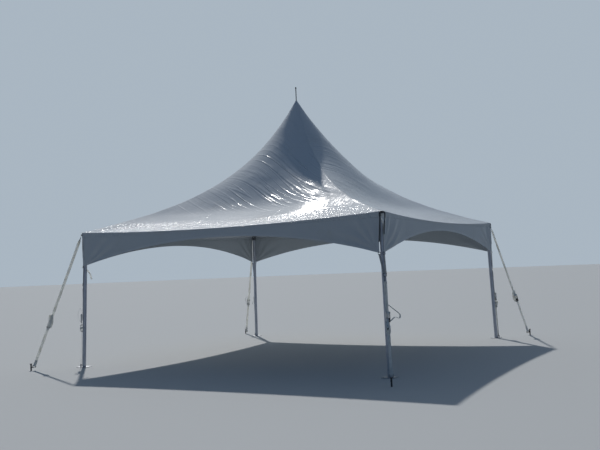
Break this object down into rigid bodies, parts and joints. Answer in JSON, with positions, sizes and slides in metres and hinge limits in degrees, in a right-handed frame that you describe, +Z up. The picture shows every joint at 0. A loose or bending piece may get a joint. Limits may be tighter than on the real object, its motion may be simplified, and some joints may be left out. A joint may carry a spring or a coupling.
{
  "type": "high-peak marquee tent",
  "caption": "Square high-peak marquee with a swept membrane roof, arched valances, tubular legs guyed by ratchet straps to ground stakes, and a flying mast on cross cables",
  "frame": {"origin": "on the ground, under the peak; the box's own centre lies about 50 mm from it, because the four guys run out unevenly", "axes": "+Z up, the front side faces -Y and the right side faces +X"},
  "size_m": [7.3916, 7.7338, 5.396],
  "materials": {
    "membrane": "glossy coated",
    "leg_metal": "satin",
    "steel": "galvanised",
    "dark_steel": "matt",
    "webbing": "woven",
    "zinc": "zinc plated"
  },
  "bodies": {
    "root": {"roof_panel_front": "membrane", "roof_panel_right": "membrane", "roof_panel_back": "membrane", "roof_panel_left": "membrane", "valance_front": "membrane", "valance_right": "membrane", "valance_back": "membrane", "valance_left": "membrane", "leg_front_left": "leg_metal", "leg_front_right": "leg_metal", "leg_back_right": "leg_metal", "leg_back_left": "leg_metal", "leg_cap_front_left": "steel", "leg_cap_front_right": "steel", "leg_cap_back_right": "steel", "leg_cap_back_left": "steel", "foot_plate_front_left": "steel", "foot_plate_front_right": "steel", "foot_plate_back_right": "steel", "foot_plate_back_left": "steel", "guy_strap_front_left": "webbing", "guy_strap_front_right": "webbing", "guy_strap_back_right": "webbing", "guy_strap_back_left": "webbing", "guy_ratchet_front_left": "zinc", "guy_ratchet_front_right": "zinc", "guy_ratchet_back_right": "zinc", "guy_ratchet_back_left": "zinc", "guy_stake_front_left": "dark_steel", "guy_stake_front_right": "dark_steel", "guy_stake_back_right": "dark_steel", "guy_stake_back_left": "dark_steel", "leg_strap_front_left": "webbing", "leg_strap_front_right": "webbing", "leg_strap_back_right": "webbing", "leg_strap_back_left": "webbing", "leg_ratchet_front_left": "zinc", "leg_ratchet_front_right": "zinc", "leg_ratchet_back_right": "zinc", "leg_ratchet_back_left": "zinc", "cross_cable_front_left": "steel", "cross_cable_front_right": "steel", "cross_cable_back_right": "steel", "cross_cable_back_left": "steel", "mast_foot": "steel", "mast": "leg_metal", "mast_cap": "steel", "peak_rod": "dark_steel"}
  },
  "joints": []
}
